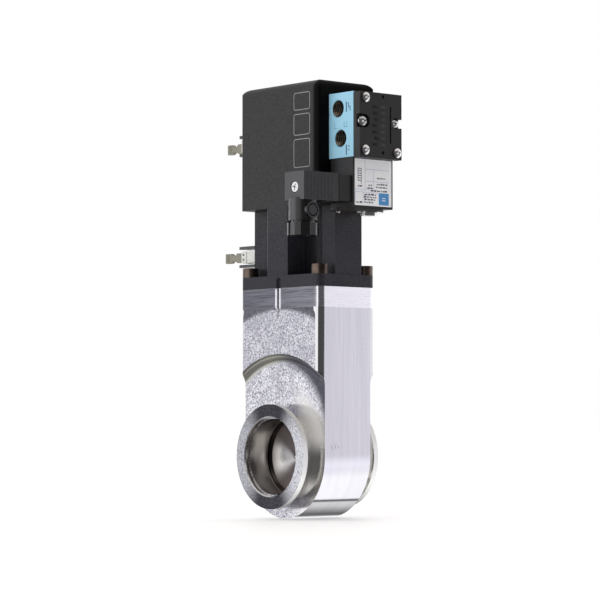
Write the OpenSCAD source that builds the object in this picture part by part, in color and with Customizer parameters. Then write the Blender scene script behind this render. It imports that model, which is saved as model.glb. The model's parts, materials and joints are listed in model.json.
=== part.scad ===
// Miniature vacuum gate valve: two clamp flanges, a lifting gate and a pneumatic actuator with a
// side-mounted pilot valve. The flow runs along Y, the gate lifts along +Z, and the origin is the
// centre of the front flange's face. Millimetres.

/* [Flow ports] */
// Outside diameter of each clamp flange
flange_d = 55; // [54:0.5:56]
// Diameter of the bore through the body
bore_d = 40; // [38:0.5:40.5]
// Distance between the two flange faces
face_to_face = 52; // [50:0.5:56]
// Thickness of the flange's cylindrical rim
rim_t = 3; // [2.5:0.1:3.5]
// Diameter of the neck behind the rim
neck_d = 45; // [44:0.5:47]
// Diameter of the recess that takes a centring ring
ring_recess_d = 41.2; // [41:0.1:41.5]
// Depth of the centring ring recess
ring_recess_depth = 3; // [2:0.1:3.2]

/* [Valve body] */
// Width of the body across the flow
body_w = 65; // [64:0.5:66]
// Thickness of the body's upper part
body_t = 40; // [39.5:0.25:41]
// Height of the body above the port axis
body_h = 78; // [77:0.5:80]
// Radius of the upright corners
corner_r = 4; // [3:0.5:5]
// Radius of the deep turned recess around each port
recess_r = 54; // [50:0.5:58]
// Depth of the deep turned recess
recess_depth = 4.25; // [3:0.25:4.5]
// Radius of the shallow turned facing above it
facing_r = 78.8; // [76:0.2:79.4]
// Depth of the shallow turned facing
facing_depth = 0.15; // [0.1:0.05:0.4]

/* [Bonnet] */
// Thickness of the bonnet plate
bonnet_t = 10.7; // [10.2:0.1:12]

/* [Actuator housing] */
// Width of the housing's base flange
base_w = 65.2; // [65:0.1:66]
// Depth of the housing's base flange
base_d = 39.7; // [39:0.1:40.5]
// Thickness of the base flange
base_t = 6.6; // [6:0.1:8]
// Height of the relieved waist
waist_h = 36; // [34:0.5:38]
// Width of the housing above the base
head_w = 64.2; // [63:0.1:65]
// Depth of the housing above the base
head_d = 38.7; // [38:0.1:39.5]
// Height of the cylinder head
head_h = 65.6; // [65:0.1:70]
// Radius of the head's top edges
head_round = 5; // [3:0.5:6]
// Diameter of the air cylinder
cylinder_d = 30; // [29:0.5:31]

/* [Gate and stem] */
// Travel of the gate
stroke = 44; // [42:0.5:44]
// Diameter of the stem
stem_d = 8; // [7:0.5:8]
// Radius of the two gate plates
plate_r = 24; // [23.6:0.1:24.4]
// Radius of the gate seal's centre line
gate_seal_r = 22; // [21.8:0.1:22.2]

/* [Pilot valve] */
// Lowest point of the valve block
pilot_z = 154.9; // [154:0.1:156]
// Height of the valve block
pilot_h = 33.8; // [33:0.1:35]
// Front and rear faces of the valve block, from the middle plane
pilot_y = [-12.8, 16.4];
// Diameter of the two threaded air ports
air_port_d = 8.8; // [8.5:0.1:9.2]

/* [Hidden] */
$fn = 96;

// Running clearance of a shaft in its hole, and the gap that keeps pieces apart
run_gap = 0.05;
fit_gap = 0.02;
eps = 0.01;
past = 1;

mid_y = face_to_face / 2;
body_r = body_w / 2;
floor_y = body_t / 2 - recess_depth;
facing_y = body_t / 2 - facing_depth;
facing_fillet = 20;

// The pocket that the gate slides in
pocket_r = plate_r + 2;
pocket_y = 10.8;

// Heights of the stacked parts above the port axis
bonnet_z = body_h;
base_z = bonnet_z + bonnet_t;
waist_z = base_z + base_t;
head_z = waist_z + waist_h;
top_z = head_z + head_h;

stem_r = stem_d / 2;
bush_r = 8;
cylinder_r = cylinder_d / 2;
cylinder_floor = head_z + 5.2;
piston_z = cylinder_floor + 1;
piston_h = 8;
cap_z = piston_z + piston_h + stroke + 0.6;
cap_t = 4.5;

// Corner screws: centres, sizes and the clearance round their shanks
screw_x = 28.4;
screw_y = 15.7;
screw_r = 2.5;
screw_head_r = 4.25;
screw_head_h = 5;
screw_depth = 16;
screw_gap = 0.25;

// Centre of the solenoid and of the valve spool
coil_x = [33, 50.3];
coil_y = [-12, 15.7];
coil_top = pilot_z;
coil_bottom = 128.8;
axis_x = (coil_x[0] + coil_x[1]) / 2;
axis_y = 6.2;
side_x = head_w / 2;

// ---- general shapes ------------------------------------------------------------------------

// Moves a part from the middle plane of the body to the shared frame
module placed() {
    translate([0, mid_y, 0]) children();
}

module disc_z(r, z0, z1) {
    translate([0, 0, z0]) cylinder(r = r, h = z1 - z0);
}

module disc_y(r, y0, y1) {
    translate([0, y1, 0]) rotate([90, 0, 0]) cylinder(r = r, h = y1 - y0);
}

module disc_x(r, x0, x1) {
    translate([x0, 0, 0]) rotate([0, 90, 0]) cylinder(r = r, h = x1 - x0);
}

module ring_z(r_out, r_in, z0, z1) {
    difference() {
        disc_z(r_out, z0, z1);
        disc_z(r_in, z0 - past, z1 + past);
    }
}

// A box given by its limits along each axis
module block(x, y, z) {
    translate([x[0], y[0], z[0]]) cube([x[1] - x[0], y[1] - y[0], z[1] - z[0]]);
}

module along_z(z0, z1) {
    translate([0, 0, z0]) linear_extrude(z1 - z0) children();
}

// Extrudes an X-Z outline along Y
module along_y(y0, y1) {
    translate([0, y1, 0]) rotate([90, 0, 0]) linear_extrude(y1 - y0) children();
}

// Extrudes a Y-Z outline along X
module along_x(x0, x1) {
    translate([x0, 0, 0]) rotate([90, 0, 90]) linear_extrude(x1 - x0) children();
}

// Turns a radius-Y outline about the Y axis
module turned_y() {
    rotate([-90, 0, 0]) rotate_extrude() children();
}

module both_faces() {
    children();
    mirror([0, 1, 0]) children();
}

module rounded_rect(w, d, r) {
    square([w - 2 * r, d], center = true);
    square([w, d - 2 * r], center = true);
    for (x = [-1, 1], y = [-1, 1])
        translate([x * (w / 2 - r), y * (d / 2 - r)]) circle(r);
}

// The lower half of a disc, with its flat edge on the axis
module half_disc(r) {
    difference() {
        circle(r);
        translate([-r - past, 0]) square([2 * (r + past), r + past]);
    }
}

// A quarter of a disc, right of and below its centre
module quarter_disc(r) {
    intersection() {
        circle(r);
        translate([0, -r - past]) square([r + past, r + past]);
    }
}

module torus(ring_r, cord_r) {
    rotate_extrude() translate([ring_r, 0]) circle(cord_r);
}

// A seal ring of round cord that follows a rectangle with round corners
module racetrack_seal(w, d, r, cord_r) {
    for (x = [-1, 1], y = [-1, 1])
        translate([x * (w / 2 - r), y * (d / 2 - r), 0])
            rotate([0, 0, x > 0 ? (y > 0 ? 0 : 270) : (y > 0 ? 90 : 180)])
                rotate_extrude(angle = 90) translate([r, 0]) circle(cord_r);
    for (y = [-1, 1])
        translate([0, y * d / 2, 0]) disc_x(cord_r, -w / 2 + r, w / 2 - r);
    for (x = [-1, 1])
        translate([x * w / 2, 0, 0]) disc_y(cord_r, -d / 2 + r, d / 2 - r);
}

module at_corners() {
    for (x = [-1, 1], y = [-1, 1]) translate([x * screw_x, y * screw_y, 0]) children();
}

// A pan-head screw along +X, with its head's underside at x = 0 and a cross recess
module pan_screw(head_r, head_h, shank_r, length) {
    slot = head_r * 0.16;
    crown_r = head_r * 1.5;
    difference() {
        rotate([0, 90, 0]) rotate_extrude() intersection() {
            square([head_r, head_h]);
            translate([0, head_h - crown_r]) circle(crown_r);
        }
        for (turn = [0, 90])
            rotate([turn + 20, 0, 0])
                block([head_h * 0.45, head_h + past], [-head_r * 0.55, head_r * 0.55], [-slot, slot]);
    }
    disc_x(shank_r, -length, 0);
}

// ---- valve body and bonnet -----------------------------------------------------------------

// The turned recess round a port, with a fillet between its floor and its wall
module face_recess() {
    turned_y() {
        translate([0, floor_y]) square([recess_r - recess_depth, recess_depth + past]);
        translate([recess_r - recess_depth, body_t / 2]) quarter_disc(recess_depth);
        translate([recess_r - recess_depth, body_t / 2]) square([recess_depth, past]);
    }
    turned_y() {
        translate([0, facing_y]) square([facing_r, facing_depth + past]);
        translate([facing_r, facing_y + facing_fillet]) quarter_disc(facing_fillet);
    }
}

module clamp_flange() {
    neck_r = neck_d / 2;
    rim_r = flange_d / 2;
    taper = (rim_r - neck_r) * tan(15);
    turned_y() polygon([
        [bore_d / 2 - past, pocket_y + past],
        [neck_r, pocket_y + past],
        [neck_r, mid_y - rim_t - taper],
        [rim_r, mid_y - rim_t],
        [rim_r, mid_y],
        [bore_d / 2 - past, mid_y]
    ]);
}

module port_bore() {
    recess = ring_recess_d / 2;
    mouth = 0.65;
    disc_y(bore_d / 2, pocket_y - past, mid_y + past);
    disc_y(recess, mid_y - ring_recess_depth, mid_y + past);
    turned_y() polygon([
        [0, mid_y - mouth],
        [recess, mid_y - mouth],
        [recess + mouth + eps, mid_y + eps],
        [0, mid_y + eps]
    ]);
}

module seat_mark() {
    translate([body_r - 0.15, -9.9, 5.2]) {
        difference() {
            disc_x(1.6, 0, past);
            disc_x(1.35, -past, 2 * past);
        }
        translate([0, 3.1, 0]) rotate([0, 90, 0]) rotate([0, 0, 90]) cylinder(r = 0.9, h = past, $fn = 3);
    }
}

module valve_body() {
    vent_h = 5.6;
    vent_r = [1, 1.7];
    color("gainsboro") placed() difference() {
        union() {
            difference() {
                along_z(0, body_h) rounded_rect(body_w, body_t, corner_r);
                both_faces() face_recess();
            }
            along_y(-floor_y, floor_y) half_disc(body_r);
            both_faces() clamp_flange();
        }
        both_faces() port_bore();
        along_y(-pocket_y, pocket_y) {
            half_disc(pocket_r);
            translate([-pocket_r, 0]) square([2 * pocket_r, body_h + past]);
        }
        at_corners() disc_z(screw_r + run_gap, body_h - screw_depth - 1, body_h + past);
        translate([0, -facing_y, body_h - vent_h]) cylinder(r1 = vent_r[0], r2 = vent_r[1], h = vent_h + eps);
        seat_mark();
    }
}

// Heights of the stem's lower bush and of each lip seal above it
shaft_bush_z = [bonnet_z + 2, bonnet_z + 5];
lip_seal_h = 2.3;
bonnet_seal_cord = 0.87;
bonnet_seal_w = 2 * pocket_r + 3.2;
bonnet_seal_d = 2 * pocket_y + 3.2;

module bonnet_plate() {
    groove = bonnet_seal_cord + 0.08;
    color("silver") placed() difference() {
        along_z(bonnet_z, base_z) rounded_rect(body_w, body_t, corner_r);
        at_corners() disc_z(screw_r + screw_gap, bonnet_z - past, base_z + past);
        disc_z(stem_r + 0.3, bonnet_z - past, base_z);
        disc_z(bush_r, shaft_bush_z[0], base_z + past);
        translate([0, -body_t / 2, 0]) disc_z(2.7, bonnet_z - past, base_z + past);
        difference() {
            along_z(bonnet_z - past, bonnet_z + 2 * bonnet_seal_cord)
                rounded_rect(bonnet_seal_w + 2 * groove, bonnet_seal_d + 2 * groove, 3 + groove);
            along_z(bonnet_z - 2 * past, bonnet_z + 2 * bonnet_seal_cord + past)
                rounded_rect(bonnet_seal_w - 2 * groove, bonnet_seal_d - 2 * groove, 3 - groove);
        }
    }
}

module bonnet_seal() {
    color("dimgray") placed() translate([0, 0, bonnet_z + bonnet_seal_cord])
        racetrack_seal(bonnet_seal_w, bonnet_seal_d, 3, bonnet_seal_cord - fit_gap / 2);
}

module shaft_bush() {
    color("peru") placed()
        ring_z(bush_r - fit_gap, stem_r + run_gap, shaft_bush_z[0], shaft_bush_z[1]);
}

module shaft_seals() {
    color("dimgray") placed() for (i = [0, 1]) {
        z = shaft_bush_z[1] + i * lip_seal_h;
        difference() {
            disc_z(bush_r - fit_gap, z + 0.1, z + lip_seal_h);
            disc_z(stem_r + run_gap, z - past, z + lip_seal_h + past);
            ring_z(bush_r - 1.5, stem_r + 1.2, z + 1, z + lip_seal_h + past);
        }
    }
}

module seal_retainer() {
    color("darkgray") placed()
        ring_z(bush_r - fit_gap, stem_r + 0.4, shaft_bush_z[1] + 2 * lip_seal_h, base_z);
}

module cap_screws() {
    key_r = 2.35;
    color("sienna") placed() at_corners() {
        difference() {
            disc_z(screw_head_r, waist_z, waist_z + screw_head_h);
            translate([0, 0, waist_z + 2]) cylinder(r = key_r, h = screw_head_h, $fn = 6);
        }
        disc_z(screw_r, body_h - screw_depth, waist_z);
    }
}

// ---- actuator housing ----------------------------------------------------------------------

// Plan limits of the relieved waist
web_front_left = -9.85;
web_front_right = -8.35;
web_rear = 10.2;
rib_x = [-11.2, 6.8];
rib_round = 2;
flute_x = 13.6;
flute_r = 6.6;
flute_edge_r = 1.8;
stem_room_r = 7;
rod_bush_r = 6;
rod_bush_z = [head_z - 8, head_z];
rod_seal_r = 6.2;

module waist_outline() {
    front = -head_d / 2;
    translate([-side_x, web_front_left]) square([side_x + rib_x[1], web_rear - web_front_left]);
    flute_y = web_front_right + flute_edge_r;
    difference() {
        translate([0, web_front_right]) square([side_x, web_rear - web_front_right]);
        translate([flute_x, flute_y]) circle(flute_r);
        translate([flute_x - flute_r, web_front_right - past])
            square([2 * flute_r + flute_edge_r, flute_edge_r + past]);
    }
    translate([flute_x + flute_r + flute_edge_r, flute_y]) circle(flute_edge_r);
    translate([rib_x[0] + rib_round, front]) square([rib_x[1] - rib_x[0] - rib_round, head_d]);
    translate([rib_x[0], front + rib_round]) square([rib_x[1] - rib_x[0], head_d - 2 * rib_round]);
    for (y = [-1, 1])
        translate([rib_x[0] + rib_round, y * (head_d / 2 - rib_round)]) circle(rib_round);
}

// An upright outline whose two top corners are round
module arched(w, z0, z1, r) {
    translate([-w / 2, z0]) square([w, z1 - z0 - r]);
    translate([-w / 2 + r, z0]) square([w - 2 * r, z1 - z0]);
    for (x = [-1, 1]) translate([x * (w / 2 - r), z1 - r]) circle(r);
}

module head_blank() {
    intersection() {
        along_z(head_z, top_z) rounded_rect(head_w, head_d, 1.5);
        along_y(-head_d, head_d) arched(head_w, head_z - past, top_z, head_round);
        along_x(-head_w, head_w) arched(head_d, head_z - past, top_z, head_round);
    }
}

// Drilled air ways from the valve block's face to the two ends of the cylinder
air_hole_r = 1.3;
upper_way_z = 183;
lower_way_z = 160;
upper_turn_x = 22;
lower_turn_x = 24;

module air_ways() {
    over_z = cap_z - air_hole_r;
    under_z = cylinder_floor + air_hole_r + 0.1;
    translate([0, axis_y, 0]) {
        translate([0, 0, upper_way_z]) disc_x(air_hole_r, upper_turn_x, side_x + past);
        translate([upper_turn_x, 0, 0]) disc_z(air_hole_r, upper_way_z, over_z);
        translate([0, 0, over_z]) disc_x(air_hole_r, cylinder_r - 2, upper_turn_x);
        translate([0, 0, lower_way_z]) disc_x(air_hole_r, lower_turn_x, side_x + past);
        translate([lower_turn_x, 0, 0]) disc_z(air_hole_r, under_z, lower_way_z);
        translate([0, 0, under_z]) disc_x(air_hole_r, cylinder_r - 2, lower_turn_x);
    }
}

// Heights and place of the two position switches
switch_z = [107.4, 168];
switch_y = [-8.4, -3.4];
switch_h = 10.8;
switch_inner_x = -23;

// Moulded guides of the switch connectors, let into the housing's wall
header_y = [-10, -2];
header_plate_y = [-8.9, -2.9];
header_plate_t = 1.5;
header_out = 13;
bar_gap = 9.9;
bar_t = 1.6;
header_half = (bar_gap + bar_t) / 2;

// The two screws that hold the valve block to the housing: places, head radii and shank radius
mount_screw_z = 173.1;
mount_screw_y = [-9.2, 12.5];
mount_head_r = [3, 2.45];
mount_screw_r = 1.25;

module actuator_housing() {
    slot_r = 1.8;
    slot_top = base_z + 5.4;
    color("#2b2829") placed() difference() {
        union() {
            along_z(base_z, waist_z) rounded_rect(base_w, base_d, corner_r);
            along_z(waist_z, head_z) waist_outline();
            head_blank();
        }
        at_corners() disc_z(screw_r + screw_gap, base_z - past, waist_z + past);
        translate([0, -base_d / 2, 0]) disc_z(slot_r, base_z - past, slot_top - slot_r);
        translate([0, -base_d / 2, slot_top - slot_r]) sphere(slot_r);
        disc_z(stem_room_r, base_z - past, rod_bush_z[0]);
        disc_z(rod_bush_r, rod_bush_z[0] - past, rod_bush_z[1]);
        disc_z(stem_r + 0.3, head_z - past, cylinder_floor + past);
        disc_z(rod_seal_r, head_z + 1.2, head_z + 3.6);
        disc_z(cylinder_r, cylinder_floor, top_z + past);
        disc_z(cylinder_r + 1, cap_z + cap_t, cap_z + cap_t + 1.2);
        air_ways();
        for (z = switch_z) {
            block([-side_x - past, switch_inner_x],
                  [switch_y[0] - fit_gap, switch_y[1] + fit_gap],
                  [z - switch_h / 2 - fit_gap, z + switch_h / 2 + fit_gap]);
            block([-side_x - past, -side_x + header_plate_t + fit_gap],
                  [header_plate_y[0] - fit_gap, header_plate_y[1] + fit_gap],
                  [z - header_half - fit_gap, z + header_half + fit_gap]);
        }
        for (y = mount_screw_y)
            translate([0, y, mount_screw_z]) disc_x(mount_screw_r + fit_gap, side_x - 8, side_x + past);
    }
}

module rod_bush() {
    color("peru") placed() ring_z(rod_bush_r - fit_gap, stem_r + run_gap, rod_bush_z[0], rod_bush_z[1]);
}

module rod_seal() {
    cord = (rod_seal_r - stem_r - run_gap - fit_gap) / 2;
    color("dimgray") placed() translate([0, 0, head_z + 2.4])
        torus(stem_r + run_gap + cord, cord);
}

module cylinder_cap() {
    groove = 2.2;
    color("#3a3738") placed() difference() {
        disc_z(cylinder_r - fit_gap, cap_z, cap_z + cap_t);
        ring_z(cylinder_r + past, cylinder_r - groove, cap_z + 1, cap_z + 3.4);
    }
}

module cap_seal() {
    cord = 1.08;
    color("dimgray") placed() translate([0, 0, cap_z + 2.2])
        torus(cylinder_r - fit_gap - cord, cord);
}

module cap_ring() {
    gap_half = 3;
    color("silver") placed() difference() {
        ring_z(cylinder_r + 0.9, cylinder_r - 1.6, cap_z + cap_t + 0.05, cap_z + cap_t + 1.15);
        block([-gap_half, gap_half], [0, cylinder_r + 2 * past], [cap_z, cap_z + 7]);
    }
}

// ---- gate, stem and piston -----------------------------------------------------------------

head_block_z = [plate_r + 1, plate_r + 9];
thread_r = 3;
pin_z = head_block_z[0] + 4.7;
pin_r = 1;
carriage_y = 3.5;
ball_place = 11;
ball_r = 4.1;

module at_balls() {
    for (x = [-1, 1], z = [-1, 1]) translate([x * ball_place, 0, z * ball_place]) children();
}

module stem() {
    color("silver") placed() difference() {
        union() {
            disc_z(thread_r, head_block_z[0] + 1.5, head_block_z[1]);
            disc_z(stem_r, head_block_z[1], piston_z);
            disc_z(thread_r, piston_z, piston_z + piston_h - 0.4);
        }
        translate([0, 0, pin_z]) disc_y(pin_r + fit_gap, -thread_r - past, thread_r + past);
    }
}

module stem_pin() {
    color("dimgray") placed() translate([0, 0, pin_z]) disc_y(pin_r, -6, 6);
}

module gate_carriage() {
    color("darkgray") placed() difference() {
        union() {
            along_y(-carriage_y, carriage_y) rounded_rect(36, 36, 6);
            block([-6, 6], [-carriage_y, carriage_y], [17, head_block_z[0] + past]);
            block([-8, 8], [-6, 6], head_block_z);
        }
        at_balls() disc_y(ball_r + 0.1, -carriage_y - past, carriage_y + past);
        disc_y(4, -carriage_y - past, carriage_y + past);
        disc_z(thread_r + fit_gap, head_block_z[0] + 1.4, head_block_z[1] + past);
        translate([0, 0, pin_z]) disc_y(pin_r + fit_gap, -6 - past, 6 + past);
    }
}

module lock_balls() {
    color("silver") placed() at_balls() sphere(ball_r);
}

piston_r = cylinder_r - 0.1;
nut_room_r = 6.3;
nut_room_h = 3.4;
piston_seal_z = piston_z + 4.1;

module piston() {
    color("lightsteelblue") placed() difference() {
        disc_z(piston_r, piston_z, piston_z + piston_h);
        disc_z(thread_r + fit_gap, piston_z - past, piston_z + piston_h + past);
        disc_z(nut_room_r, piston_z + piston_h - nut_room_h, piston_z + piston_h + past);
        ring_z(piston_r + past, cylinder_r - 2.5, piston_seal_z - 1.3, piston_seal_z + 1.3);
        ring_z(piston_r + past, cylinder_r - 1.3, piston_z + 0.7, piston_z + 2.3);
        ring_z(piston_r + past, cylinder_r - 2.5, piston_z + 6.2, piston_z + piston_h + past);
    }
}

module piston_guide() {
    color("ivory") placed() ring_z(cylinder_r - fit_gap, cylinder_r - 1.28, piston_z + 0.72, piston_z + 2.28);
}

module piston_seal() {
    cord = 1.22;
    color("dimgray") placed() translate([0, 0, piston_seal_z]) torus(cylinder_r - fit_gap - cord, cord);
}

module piston_magnet() {
    color("slategray") placed()
        ring_z(cylinder_r - 0.3, cylinder_r - 2.48, piston_z + 6.22, piston_z + piston_h);
}

module piston_nut() {
    color("goldenrod") placed() difference() {
        translate([0, 0, piston_z + piston_h - nut_room_h]) cylinder(r = 5.9, h = 3.1, $fn = 6);
        disc_z(thread_r + fit_gap, piston_z, piston_z + piston_h + past);
    }
}

// The dished plates stand back to back, so both are drawn on the +Y side
plate_inner_y = 4.2;
disc_face_y = pocket_y - 0.5;
counter_face_y = pocket_y - 0.2;
step_depth = 1.2;
step_r = 19.6;
dish_depth = 2.6;
dish_r = 18;
tie_r = 1.5;

module dished_plate(face_y) {
    sphere_r = (dish_r * dish_r + dish_depth * dish_depth) / (2 * dish_depth);
    step_y = face_y - step_depth;
    difference() {
        disc_y(plate_r, plate_inner_y, face_y);
        disc_y(step_r, step_y, face_y + past);
        turned_y() intersection() {
            translate([0, step_y - dish_depth + sphere_r]) circle(sphere_r);
            square([step_r, face_y]);
        }
        at_balls() disc_y(ball_r + 0.5, plate_inner_y - past, plate_inner_y + 0.8);
    }
}

module gate_disc() {
    seal_groove = 1.95;
    color("white") placed() mirror([0, 1, 0]) difference() {
        dished_plate(disc_face_y);
        difference() {
            disc_y(gate_seal_r + 1.25, disc_face_y - seal_groove, disc_face_y + past);
            disc_y(gate_seal_r - 1.25, disc_face_y - seal_groove - past, disc_face_y + 2 * past);
        }
        disc_y(tie_r + fit_gap, 0, disc_face_y + past);
    }
}

module gate_seal() {
    cord = 1.2;
    color("black") placed() translate([0, -pocket_y + fit_gap + cord, 0]) rotate([90, 0, 0])
        torus(gate_seal_r, cord);
}

module counter_plate() {
    color("whitesmoke") placed() difference() {
        dished_plate(counter_face_y);
        disc_y(tie_r + 0.4, 0, counter_face_y + past);
    }
}

tie_head_y = disc_face_y - step_depth - dish_depth + 0.06;
tie_nut_y = 8.6;
tie_end_y = 9.8;
tie_spring_r = 5.2;

module tie_bolt() {
    color("white") placed() {
        disc_y(tie_r, -tie_head_y - eps, tie_end_y);
        disc_y(2.3, -tie_head_y - 0.7, -tie_head_y);
        translate([0, -tie_head_y - 0.7, 0]) sphere(1.6);
    }
}

module tie_nut() {
    color("silver") placed() difference() {
        disc_y(3, tie_nut_y, tie_end_y);
        disc_y(tie_r + fit_gap, 0, tie_end_y + past);
    }
}

module tie_spring() {
    leaf = 0.3;
    cup_y = counter_face_y - step_depth - dish_depth + 0.25;
    color("steelblue") placed() turned_y() polygon([
        [tie_r + 0.1, tie_nut_y - leaf],
        [tie_r + 0.1, tie_nut_y],
        [3.2, tie_nut_y],
        [tie_spring_r, cup_y + leaf],
        [tie_spring_r, cup_y],
        [3, tie_nut_y - leaf]
    ]);
}

// ---- pilot valve ---------------------------------------------------------------------------

gasket_t = 0.5;
block_x = [side_x + gasket_t, 51.5];
cover_x = [block_x[1] + gasket_t, 56.5];
pilot_top = pilot_z + pilot_h;
cover_z = [pilot_z - 0.7, pilot_top - 0.4];
spool_r = 3.6;
spool_top = pilot_top - 4;
air_port_x = [41.2, 39.2];
air_port_z = [165, 180.6];
air_port_depth = 8;

// Cover screws: places in Y and Z, shank radius and head radius
cover_screw_places = [[-8.8, 185.3], [-9, 158.1], [13, 157.7]];
cover_screw_r = 1.1;
cover_head_r = 2.5;
seat_depth = 2.6;

module pilot_gasket() {
    color("dimgray") placed() difference() {
        block([side_x, block_x[0]], pilot_y, [pilot_z + 0.4, pilot_top - 0.4]);
        for (z = [upper_way_z, lower_way_z])
            translate([0, axis_y, z]) disc_x(air_hole_r + 0.3, side_x - past, block_x[0] + past);
        mount_screw_holes([side_x, block_x[0]], fit_gap);
    }
}

module pilot_body() {
    mouth = 0.5;
    port_r = air_port_d / 2;
    color("#8cc3d7") placed() difference() {
        block(block_x, pilot_y, [pilot_z, pilot_top]);
        translate([axis_x, axis_y, 0]) disc_z(spool_r, pilot_z - past, spool_top);
        for (z = [upper_way_z, lower_way_z])
            translate([0, axis_y, z]) disc_x(air_hole_r, block_x[0] - past, axis_x);
        for (i = [0, 1]) translate([air_port_x[i], pilot_y[0], air_port_z[i]]) {
            disc_y(port_r, -past, air_port_depth);
            disc_y(2.2, 0, axis_y - pilot_y[0]);
            translate([0, mouth, 0]) rotate([90, 0, 0])
                cylinder(r1 = port_r, r2 = port_r + mouth + eps, h = mouth + eps);
        }
        mount_screw_holes(block_x, fit_gap);
        for (p = cover_screw_places)
            translate([0, p[0], p[1]]) disc_x(cover_screw_r + fit_gap, block_x[1] - 6, block_x[1] + past);
    }
}

module cover_outline(margin) {
    translate([pilot_y[0] + margin, cover_z[0] + margin])
        square([pilot_y[1] - pilot_y[0] - 2 * margin, cover_z[1] - cover_z[0] - 2 * margin]);
}

// The open-sided seats of the two mounting screws' heads
module screw_seats() {
    slot_half = 2.3;
    for (i = [0, 1]) translate([mount_screw_y[i], mount_screw_z]) circle(mount_head_r[i] + 0.5);
    translate([pilot_y[0] - past, mount_screw_z - mount_head_r[0] - 0.5])
        square([mount_screw_y[0] - pilot_y[0] + past, 2 * mount_head_r[0] + 1]);
    translate([mount_screw_y[1], mount_screw_z - slot_half])
        square([pilot_y[1] - mount_screw_y[1] + past, 2 * slot_half]);
}

module cover_screw_holes(x) {
    for (p = cover_screw_places)
        translate([0, p[0], p[1]]) disc_x(cover_screw_r + 0.2, x[0] - past, x[1] + past);
    mount_screw_holes(x, 0.2);
}

module mount_screw_holes(x, gap) {
    for (y = mount_screw_y)
        translate([0, y, mount_screw_z]) disc_x(mount_screw_r + gap, x[0] - past, x[1] + past);
}

module cover_gasket() {
    color("dimgray") placed() difference() {
        along_x(block_x[1], cover_x[0]) cover_outline(0.8);
        cover_screw_holes([block_x[1], cover_x[0]]);
    }
}

module pilot_cover() {
    groove_y = 8.6;
    color("#232021") placed() difference() {
        along_x(cover_x[0], cover_x[1]) cover_outline(0);
        along_x(cover_x[1] - seat_depth, cover_x[1] + past) screw_seats();
        cover_screw_holes(cover_x);
        block([cover_x[1] - 0.8, cover_x[1] + past], [groove_y - 0.5, groove_y + 0.5],
              [pilot_z + 7.4, pilot_z + 26.6]);
        for (z = [pilot_z + 2.4, pilot_top - 2.4])
            translate([0, 3.4, z]) disc_x(0.9, cover_x[1] - 0.8, cover_x[1] + past);
    }
}

module cover_screws() {
    color("lightgray") placed() for (p = cover_screw_places)
        translate([cover_x[1], p[0], p[1]])
            pan_screw(cover_head_r, 1.7, cover_screw_r, cover_x[1] - block_x[1] + 5);
}

module mounting_screws() {
    head_x = cover_x[1] - seat_depth;
    color("lightgray") placed() for (i = [0, 1])
        translate([head_x, mount_screw_y[i], mount_screw_z])
            pan_screw(mount_head_r[i], 2.4, mount_screw_r, head_x - side_x + 7);
}

armature_travel = 1.5;
armature_z = [138, pilot_z - 1];

module pilot_spool() {
    waist_r = 2.2;
    land_h = 4;
    z0 = pilot_z + 2.4;
    gaps = [z0 + land_h, z0 + land_h + 7.5, z0 + land_h + 15];
    color("silver") placed() translate([axis_x, axis_y, 0]) {
        disc_z(waist_r, armature_z[1], z0);
        difference() {
            disc_z(spool_r - run_gap, z0, spool_top - 0.6);
            for (z = gaps) ring_z(spool_r + past, waist_r, z, z + 3.5);
        }
    }
}

// ---- solenoid ------------------------------------------------------------------------------

tube_r = [3.35, 4];
core_top = armature_z[0] - armature_travel - 0.3;
bracket_t = 1.4;
bracket_z = [coil_bottom - bracket_t, coil_bottom];
washer_t = 0.5;
nut_z = [bracket_z[0] - washer_t - 1.5, bracket_z[0] - washer_t];
tube_bottom = bracket_z[0] + 0.4;
stud_r = 2;

module on_coil_axis() {
    translate([axis_x, axis_y, 0]) children();
}

plug_base_y = -20.5;
plug_x = [34.7, 49.8];
plug_z = [131.2, 145.7];

module coil_housing() {
    inset = 0.5;
    color("#201e1f") placed() difference() {
        union() {
            block(coil_x, coil_y, [coil_bottom, coil_top]);
            block([plug_x[0] + inset, plug_x[1] - inset], [plug_base_y, coil_y[0] + past],
                  [plug_z[0] + inset, plug_z[1] - inset]);
        }
        on_coil_axis() disc_z(7.5, coil_bottom + 1.2, coil_top + past);
        on_coil_axis() disc_z(tube_r[1] + run_gap, coil_bottom - past, coil_bottom + 1.2 + past);
        plug_fastener(fit_gap);
        plug_blades(fit_gap);
    }
}

module coil_winding() {
    color("#b5651d") placed() on_coil_axis()
        ring_z(7.3, tube_r[1] + 0.15, coil_bottom + 1.4, coil_top - 1);
}

module core_tube() {
    color("silver") placed() on_coil_axis() ring_z(tube_r[1], tube_r[0], tube_bottom, coil_top);
}

module fixed_core() {
    color("gray") placed() on_coil_axis() {
        disc_z(tube_r[0] - fit_gap, tube_bottom, core_top);
        disc_z(stud_r, nut_z[0], tube_bottom + eps);
    }
}

spring_room_r = 1.9;
spring_room_top = armature_z[0] + 6;

module armature() {
    color("silver") placed() on_coil_axis() difference() {
        disc_z(tube_r[0] - run_gap, armature_z[0], armature_z[1]);
        disc_z(spring_room_r, armature_z[0] - past, spring_room_top);
    }
}

// One ring of points round a helix of radius r, at a turn count t
function helix_point(r, pitch, t) = [r * cos(360 * t), r * sin(360 * t), pitch * t];

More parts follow.
